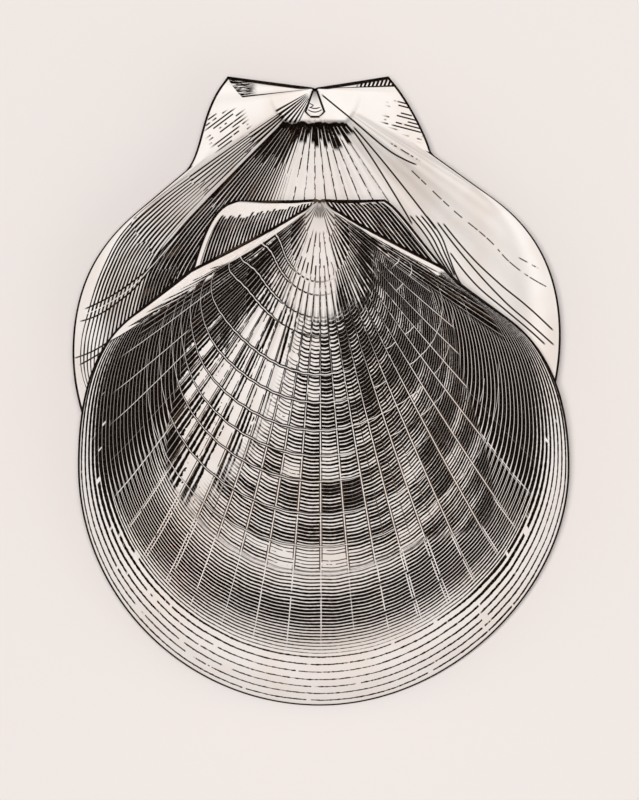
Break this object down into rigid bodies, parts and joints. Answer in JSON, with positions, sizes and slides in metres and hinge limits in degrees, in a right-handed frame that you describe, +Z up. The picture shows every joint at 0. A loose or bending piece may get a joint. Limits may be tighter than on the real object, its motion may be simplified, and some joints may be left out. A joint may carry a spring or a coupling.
{
  "type": "scallop shell",
  "caption": "Pair of domed, ribbed scallop valves with eared hinges, one lying hollow side up and the other leaning on it with its outside up.",
  "frame": {"origin": "middle of the base of the pair, on the table", "axes": "+X to the right along the hinge lines, +Y towards the hinges, +Z up"},
  "size_m": [0.1014, 0.1292, 0.04],
  "materials": {
    "inner_shell": "calcite shell, smooth and slightly lustrous inside",
    "outer_shell": "calcite shell, satin, with fine ribs and growth lines"
  },
  "bodies": {
    "root": {"lower_valve": "inner_shell", "upper_valve": "outer_shell"}
  },
  "joints": []
}
